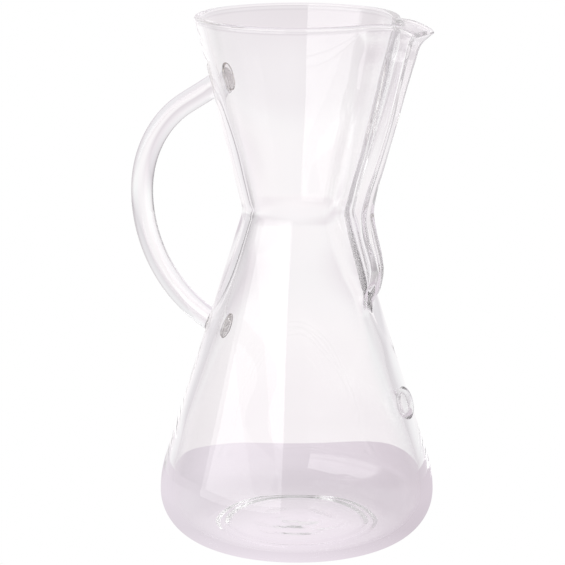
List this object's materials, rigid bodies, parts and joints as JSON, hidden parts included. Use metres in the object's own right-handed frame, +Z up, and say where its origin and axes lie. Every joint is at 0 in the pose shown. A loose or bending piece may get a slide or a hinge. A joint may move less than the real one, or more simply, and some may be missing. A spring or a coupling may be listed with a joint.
{
  "type": "pour-over coffee carafe",
  "caption": "Hourglass carafe for pour-over coffee, all in clear glass, with an air rib that runs up to a pouring lip, a fused rod handle and a level button.",
  "frame": {"origin": "centre of the base ring, on the surface that the carafe stands on", "axes": "+Z up along the vessel's axis, +X towards the pouring lip and the level button, -X towards the handle"},
  "size_m": [0.131, 0.11, 0.21],
  "materials": {
    "vessel_glass": "clear, fire polished",
    "handle_glass": "clear rod, fire polished",
    "weld_glass": "clear, fused, slightly seedy",
    "button_glass": "clear, fire polished"
  },
  "bodies": {
    "root": {"vessel": "vessel_glass", "handle": "handle_glass", "upper_weld": "weld_glass", "lower_weld": "weld_glass", "level_button": "button_glass"}
  },
  "joints": []
}
